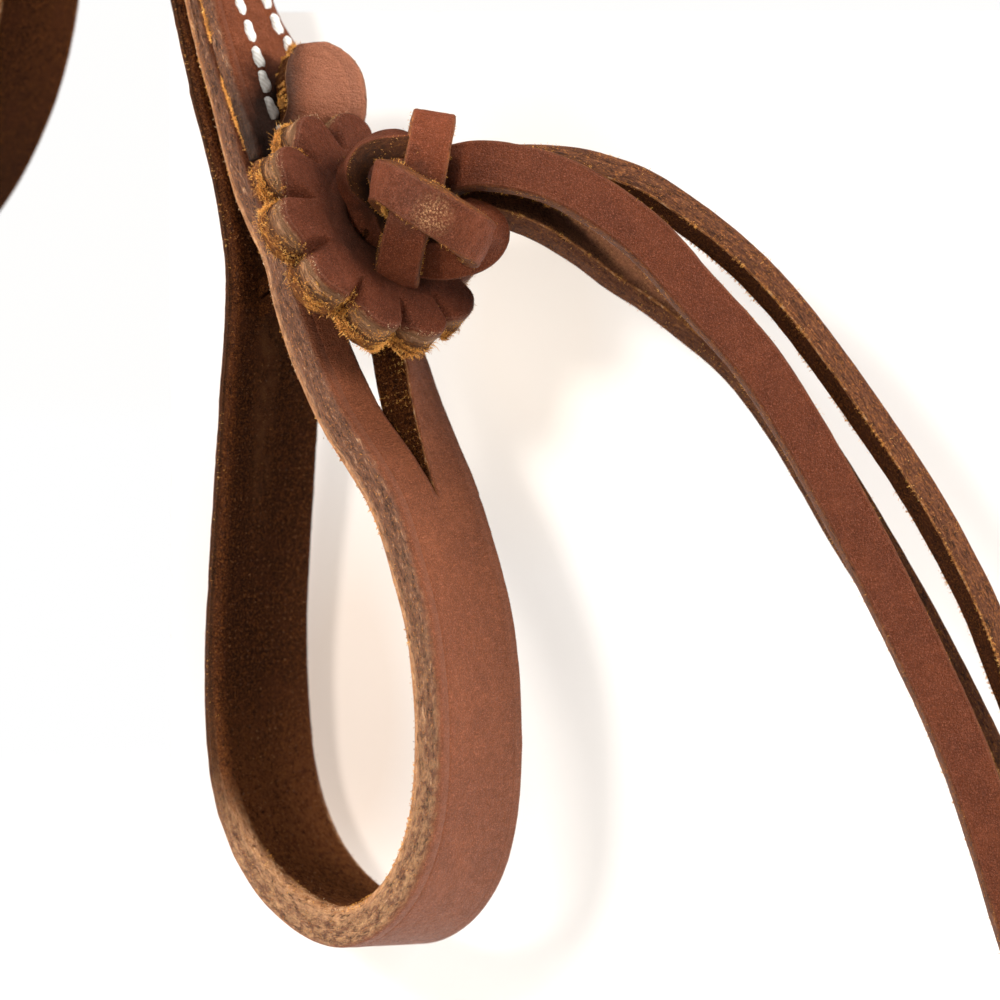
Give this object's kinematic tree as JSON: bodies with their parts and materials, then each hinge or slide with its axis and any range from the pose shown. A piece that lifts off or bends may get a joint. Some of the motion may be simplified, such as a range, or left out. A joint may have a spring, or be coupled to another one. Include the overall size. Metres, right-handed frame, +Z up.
{
  "type": "leather rein with tied bit end",
  "caption": "Coiled leather rein hanging with its bit end: slit bit loop, stitched doubler, scalloped rosette, lace knot and lace tails.",
  "frame": {"origin": "where the bar of the bit ring lies, in the lower bend of the bit loop", "axes": "+Z up with the rein hanging; +X out of the grain face that carries the rosette; Y across the strap width"},
  "size_m": [0.2448, 0.0675, 0.214],
  "materials": {
    "strap_leather": "oiled harness leather, matte grain outside, dark fibrous flesh side, burnished cut edges",
    "lace_leather": "oiled lace leather, matte grain, raw cut edges",
    "rosette_leather": "tooled leather with domed petals and raw fuzzy lower edge",
    "thread": "waxed white linen thread"
  },
  "bodies": {
    "coil": {"rein_coil_strap": "strap_leather"},
    "lead": {"rein_lead_strap": "strap_leather", "doubler": "strap_leather", "stitch_row_left": "thread", "stitch_row_right": "thread", "back_leg": "strap_leather", "front_leg_tip": "strap_leather", "tie_shank_upper": "lace_leather", "tie_shank_lower": "lace_leather", "tie_bight": "lace_leather"},
    "bit_loop": {"bit_loop_strap": "strap_leather"},
    "rosette": {"rosette": "rosette_leather"},
    "knot": {"knot_ring": "lace_leather", "knot_crown": "lace_leather", "knot_wrap": "lace_leather", "knot_drop": "lace_leather", "knot_return": "lace_leather"},
    "tail_a": {"tail_a": "lace_leather"},
    "tail_b": {"tail_b": "lace_leather"},
    "tail_c": {"tail_c": "lace_leather"},
    "tail_d": {"tail_d": "lace_leather"}
  },
  "joints": [
    {"name": "rein_flex", "type": "hinge", "parent": "coil", "child": "lead", "pos_m": [-0.03095, 0, 0.1329], "axis": [0, 1, 0], "range_deg": [-15, 15], "stiffness_Nm_per_rad": 2},
    {"name": "loop_flex", "type": "hinge", "parent": "lead", "child": "bit_loop", "pos_m": [-0.006, 0, 0.056], "axis": [0, 1, 0], "range_deg": [-8, 8], "stiffness_Nm_per_rad": 0.8},
    {"name": "rosette_turn", "type": "hinge", "parent": "lead", "child": "rosette", "pos_m": [0.0026, -0.0024, 0.0736], "axis": [0.8571, 0, 0.5151], "range_deg": [-30, 30]},
    {"name": "knot_slide", "type": "slide", "parent": "lead", "child": "knot", "axis": [0.8571, 0, 0.5151], "range_m": [0, 0.004]},
    {"name": "tail_a_swing", "type": "hinge", "parent": "knot", "child": "tail_a", "pos_m": [0.01644, 0.00249, 0.0807], "axis": [0.5728, -0.818, 0.0523], "range_deg": [-12, 10], "stiffness_Nm_per_rad": 0.06},
    {"name": "tail_b_swing", "type": "hinge", "parent": "knot", "child": "tail_b", "pos_m": [0.01617, 0.00794, 0.08086], "axis": [0.5728, -0.818, 0.0523], "range_deg": [-12, 10], "stiffness_Nm_per_rad": 0.06},
    {"name": "tail_c_swing", "type": "hinge", "parent": "knot", "child": "tail_c", "pos_m": [0.00877, 0.01712, 0.07603], "axis": [0.5728, -0.818, 0.0523], "range_deg": [-12, 10], "stiffness_Nm_per_rad": 0.06},
    {"name": "tail_d_swing", "type": "hinge", "parent": "knot", "child": "tail_d", "pos_m": [0.01288, 0.01281, 0.08025], "axis": [0.5728, -0.818, 0.0523], "range_deg": [-12, 10], "stiffness_Nm_per_rad": 0.06}
  ]
}
